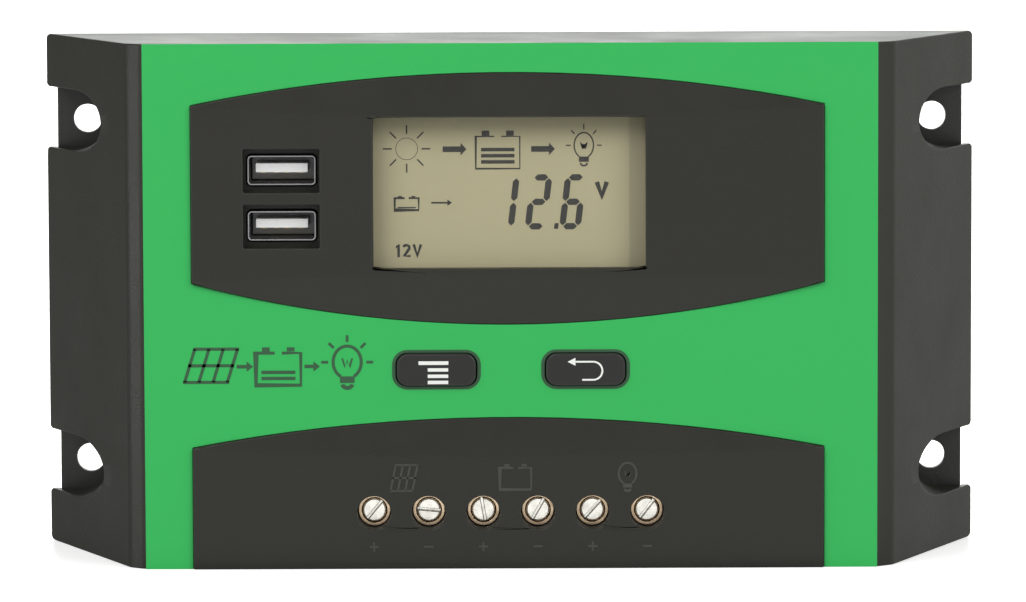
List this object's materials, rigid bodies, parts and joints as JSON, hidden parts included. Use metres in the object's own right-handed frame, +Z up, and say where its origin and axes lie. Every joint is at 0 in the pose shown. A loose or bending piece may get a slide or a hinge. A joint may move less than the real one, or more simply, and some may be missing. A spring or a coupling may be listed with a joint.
{
  "type": "charge controller",
  "caption": "Wall-mounted box controller with liquid crystal display, charging sockets, keys and screw terminals along its lower edge.",
  "frame": {"origin": "centre of the four mounting holes, on the wall plane", "axes": "+X to the right seen from the front, +Y from the front into the wall, +Z up"},
  "size_m": [0.1836, 0.0459, 0.101],
  "materials": {
    "shell_plastic": "moulded satin-matte black ABS",
    "green_film": "printed green polycarbonate film",
    "black_metal": "black anodised aluminium plate",
    "clear_lens": "clear acrylic",
    "lcd_glass": "grey-olive reflective liquid crystal cell",
    "white_plastic": "white moulded plastic",
    "zebra_rubber": "layered conductive silicone strip",
    "key_plastic": "dark moulded key caps",
    "switch_plastic": "black moulded switch and connector plastic",
    "bright_steel": "nickel-plated steel sheet",
    "gold_contacts": "gold-flashed contacts",
    "circuit_board": "green solder mask on glass-fibre board",
    "chip_epoxy": "black moulding compound",
    "capacitor_sleeve": "dark blue shrink sleeve",
    "ferrite": "grey ferrite",
    "shunt_alloy": "copper-manganese resistance strip",
    "tinned_copper": "tinned copper",
    "thermal_silicone": "grey silicone pad",
    "bar_aluminium": "plain aluminium bar",
    "block_plastic": "black moulded terminal housing",
    "brass": "plain brass",
    "nickel_screws": "nickel-plated slotted screws",
    "zinc_screws": "zinc-plated screws",
    "black_screws": "blackened steel screws"
  },
  "bodies": {
    "housing": {"front_shell": "shell_plastic", "front_film": "green_film", "back_plate": "black_metal", "lcd_window": "clear_lens", "lcd_glass": "lcd_glass", "lcd_backlight": "white_plastic", "lcd_holder": "white_plastic", "lcd_zebra_strip": "zebra_rubber", "switch_menu": "switch_plastic", "switch_return": "switch_plastic", "usb_shell_upper": "bright_steel", "usb_shell_lower": "bright_steel", "usb_tongue_upper": "white_plastic", "usb_tongue_lower": "white_plastic", "usb_contacts_upper": "gold_contacts", "usb_contacts_lower": "gold_contacts", "display_board": "circuit_board", "power_board": "circuit_board", "header_base": "switch_plastic", "header_pins": "gold_contacts", "header_socket": "switch_plastic", "microcontroller": "chip_epoxy", "capacitor_upper": "capacitor_sleeve", "capacitor_lower": "capacitor_sleeve", "usb_inductor": "ferrite", "current_shunt": "shunt_alloy", "mosfet_bodies": "chip_epoxy", "mosfet_leads": "tinned_copper", "thermal_pads": "thermal_silicone", "clamp_bar": "bar_aluminium", "terminal_block": "block_plastic", "cage_1": "brass", "cage_2": "brass", "cage_3": "brass", "cage_4": "brass", "cage_5": "brass", "cage_6": "brass", "board_spacers": "brass", "board_screws": "zinc_screws", "display_screws": "zinc_screws", "clamp_bar_screws": "zinc_screws", "shell_screws": "black_screws"},
    "menu_key": {"key_menu": "key_plastic", "plunger_menu": "switch_plastic"},
    "return_key": {"key_return": "key_plastic", "plunger_return": "switch_plastic"},
    "wire_clamp_1": {"clamp_1": "bright_steel"},
    "clamp_screw_1": {"screw_1": "nickel_screws"},
    "wire_clamp_2": {"clamp_2": "bright_steel"},
    "clamp_screw_2": {"screw_2": "nickel_screws"},
    "wire_clamp_3": {"clamp_3": "bright_steel"},
    "clamp_screw_3": {"screw_3": "nickel_screws"},
    "wire_clamp_4": {"clamp_4": "bright_steel"},
    "clamp_screw_4": {"screw_4": "nickel_screws"},
    "wire_clamp_5": {"clamp_5": "bright_steel"},
    "clamp_screw_5": {"screw_5": "nickel_screws"},
    "wire_clamp_6": {"clamp_6": "bright_steel"},
    "clamp_screw_6": {"screw_6": "nickel_screws"}
  },
  "joints": [
    {"name": "menu_press", "type": "slide", "parent": "housing", "child": "menu_key", "axis": [0, 1, 0], "range_m": [0, 0.0005], "stiffness_N_per_m": 1500, "springref_m": -0.0004},
    {"name": "return_press", "type": "slide", "parent": "housing", "child": "return_key", "axis": [0, 1, 0], "range_m": [0, 0.0005], "stiffness_N_per_m": 1500, "springref_m": -0.0004},
    {"name": "clamp_1_slide", "type": "slide", "parent": "housing", "child": "wire_clamp_1", "axis": [0, 1, 0], "range_m": [0, 0.0035]},
    {"name": "screw_1_turn", "type": "hinge", "parent": "wire_clamp_1", "child": "clamp_screw_1", "pos_m": [-0.0264, -0.0405, -0.0397], "axis": [0, 1, 0], "range_deg": [0, 1800]},
    {"name": "clamp_2_slide", "type": "slide", "parent": "housing", "child": "wire_clamp_2", "axis": [0, 1, 0], "range_m": [0, 0.0035]},
    {"name": "screw_2_turn", "type": "hinge", "parent": "wire_clamp_2", "child": "clamp_screw_2", "pos_m": [-0.0159, -0.0405, -0.0397], "axis": [0, 1, 0], "range_deg": [0, 1800]},
    {"name": "clamp_3_slide", "type": "slide", "parent": "housing", "child": "wire_clamp_3", "axis": [0, 1, 0], "range_m": [0, 0.0035]},
    {"name": "screw_3_turn", "type": "hinge", "parent": "wire_clamp_3", "child": "clamp_screw_3", "pos_m": [-0.0054, -0.0405, -0.0397], "axis": [0, 1, 0], "range_deg": [0, 1800]},
    {"name": "clamp_4_slide", "type": "slide", "parent": "housing", "child": "wire_clamp_4", "axis": [0, 1, 0], "range_m": [0, 0.0035]},
    {"name": "screw_4_turn", "type": "hinge", "parent": "wire_clamp_4", "child": "clamp_screw_4", "pos_m": [0.0051, -0.0405, -0.0397], "axis": [0, 1, 0], "range_deg": [0, 1800]},
    {"name": "clamp_5_slide", "type": "slide", "parent": "housing", "child": "wire_clamp_5", "axis": [0, 1, 0], "range_m": [0, 0.0035]},
    {"name": "screw_5_turn", "type": "hinge", "parent": "wire_clamp_5", "child": "clamp_screw_5", "pos_m": [0.0156, -0.0405, -0.0397], "axis": [0, 1, 0], "range_deg": [0, 1800]},
    {"name": "clamp_6_slide", "type": "slide", "parent": "housing", "child": "wire_clamp_6", "axis": [0, 1, 0], "range_m": [0, 0.0035]},
    {"name": "screw_6_turn", "type": "hinge", "parent": "wire_clamp_6", "child": "clamp_screw_6", "pos_m": [0.0261, -0.0405, -0.0397], "axis": [0, 1, 0], "range_deg": [0, 1800]}
  ],
  "couplings": [
    {"joint": "screw_1_turn", "follows": "clamp_1_slide", "rad_per_m": 8975.9},
    {"joint": "screw_2_turn", "follows": "clamp_2_slide", "rad_per_m": 8975.9},
    {"joint": "screw_3_turn", "follows": "clamp_3_slide", "rad_per_m": 8975.9},
    {"joint": "screw_4_turn", "follows": "clamp_4_slide", "rad_per_m": 8975.9},
    {"joint": "screw_5_turn", "follows": "clamp_5_slide", "rad_per_m": 8975.9},
    {"joint": "screw_6_turn", "follows": "clamp_6_slide", "rad_per_m": 8975.9}
  ]
}
